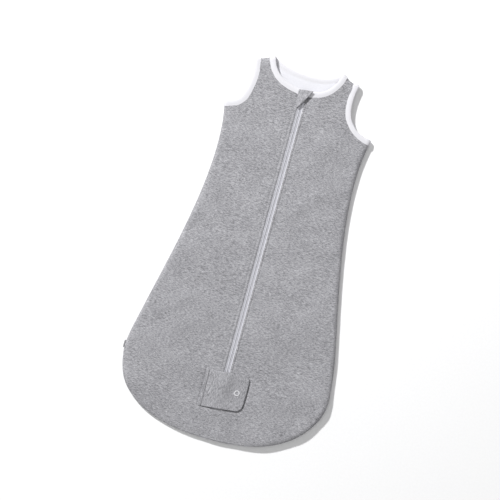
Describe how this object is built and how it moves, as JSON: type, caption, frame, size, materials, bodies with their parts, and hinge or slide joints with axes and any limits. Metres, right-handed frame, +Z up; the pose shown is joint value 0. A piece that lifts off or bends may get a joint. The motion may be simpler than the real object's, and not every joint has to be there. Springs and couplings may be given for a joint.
{
  "type": "baby sleeping bag",
  "caption": "Sleeveless knit baby sleeping bag laid flat, with bound neck and armholes, a front zip with a chin guard, and a snap tab over the parked slider.",
  "frame": {"origin": "middle of the bag on the surface it lies on", "axes": "+X to the right of the bag as it is seen from the front, +Y towards the neck, +Z up out of the front"},
  "size_m": [0.385, 0.6973, 0.0206],
  "materials": {
    "body_knit": "heather grey knit, matt, fine speckle",
    "tab_knit": "the body knit cut crosswise",
    "binding": "white rib knit binding, matt",
    "facing": "white jersey lining, matt",
    "label": "white woven tape, no text",
    "zip_tape": "light grey woven tape",
    "zip_chain": "light grey nylon coil",
    "zip_plastic": "white moulded plastic",
    "zip_metal": "light grey painted zinc",
    "snap_metal": "white enamelled snap, satin"
  },
  "bodies": {
    "root": {"back_panel": "body_knit", "front_panel": "body_knit", "side_seam_left": "body_knit", "side_seam_right": "body_knit", "bottom_seam": "body_knit", "shoulder_seam_left": "body_knit", "shoulder_seam_right": "body_knit", "neck_binding_back": "binding", "armhole_binding_left": "binding", "armhole_binding_right": "binding", "neck_facing": "facing", "side_label": "label", "zip_tape_tail_left": "zip_tape", "zip_tape_tail_right": "zip_tape", "zip_chain_end": "zip_chain", "zip_bar_tack": "zip_plastic", "snap_stud": "snap_metal", "snap_stud_backing": "snap_metal", "snap_tab_seam": "tab_knit"},
    "front_left": {"lapel_left_panel": "body_knit", "zip_tape_left": "zip_tape", "zip_chain_left": "zip_chain", "insertion_pin": "zip_plastic", "neck_binding_left": "binding", "chin_guard": "tab_knit"},
    "front_right": {"lapel_right_panel": "body_knit", "zip_tape_right": "zip_tape", "zip_chain_right": "zip_chain", "retainer_box": "zip_plastic", "neck_binding_right": "binding"},
    "slider": {"slider_body": "zip_metal", "slider_pin": "zip_metal"},
    "pull": {"zip_pull": "zip_metal"},
    "snap_tab": {"snap_tab_fabric": "tab_knit", "snap_ring_cap": "snap_metal", "snap_socket": "snap_metal"}
  },
  "joints": [
    {"name": "front_fold_right", "type": "hinge", "parent": "root", "child": "front_right", "pos_m": [0, -0.236, 0.0133], "axis": [0.1023, 0.9948, 0], "range_deg": [0, 150]},
    {"name": "front_fold_left", "type": "hinge", "parent": "root", "child": "front_left", "pos_m": [0, -0.236, 0.0133], "axis": [0.1023, -0.9948, 0], "range_deg": [0, 150]},
    {"name": "slider_travel", "type": "slide", "parent": "front_right", "child": "slider", "axis": [0, 1, 0], "range_m": [0, 0.514]},
    {"name": "pull_turn", "type": "hinge", "parent": "slider", "child": "pull", "pos_m": [0, -0.236, 0.0148], "axis": [-1, 0, 0], "range_deg": [0, 180]},
    {"name": "snap_tab_open", "type": "hinge", "parent": "root", "child": "snap_tab", "pos_m": [-0.03009, -0.25268, 0.0146], "axis": [0.0785, -0.9969, 0], "range_deg": [0, 165]}
  ],
  "couplings": [
    {"joint": "front_fold_left", "follows": "front_fold_right", "ratio": 1},
    {"joint": "pull_turn", "follows": "slider_travel", "rad_per_m": 6.112}
  ]
}
